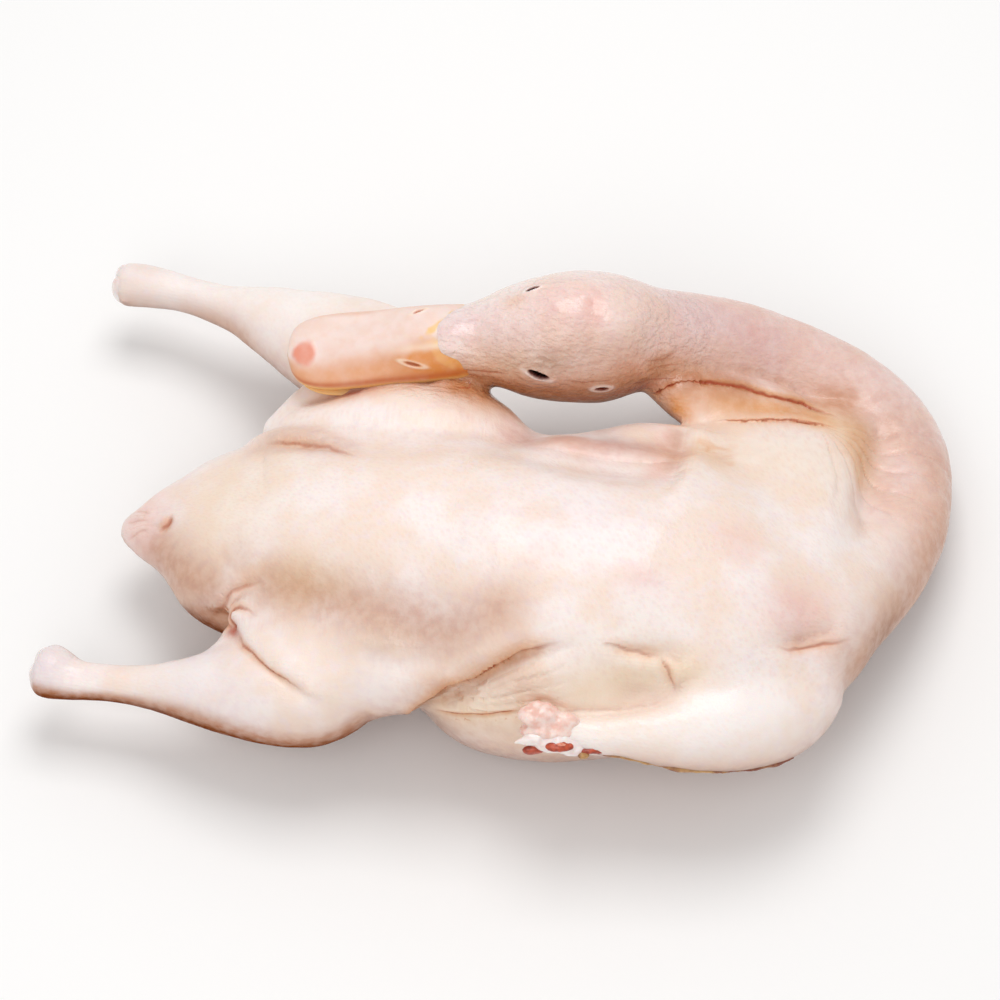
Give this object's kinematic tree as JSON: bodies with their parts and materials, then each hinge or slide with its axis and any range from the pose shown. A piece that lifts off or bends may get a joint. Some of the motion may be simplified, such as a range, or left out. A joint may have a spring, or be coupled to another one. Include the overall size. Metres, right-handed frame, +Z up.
{
  "type": "whole raw duck",
  "caption": "Whole raw duck, plucked and dressed with its head on, lying on its breast with the neck bent round beside the body and the feet and outer wings cut off.",
  "frame": {"origin": "middle of the duck's bounding box in plan, on the table it lies on", "axes": "+X from the tail to the front of the breast, +Y to the duck's left, where its neck and head lie, +Z up"},
  "size_m": [0.3429, 0.2211, 0.095],
  "materials": {
    "raw_skin": "moist, smooth raw skin"
  },
  "bodies": {
    "root": {"duck": "raw_skin"}
  },
  "joints": []
}
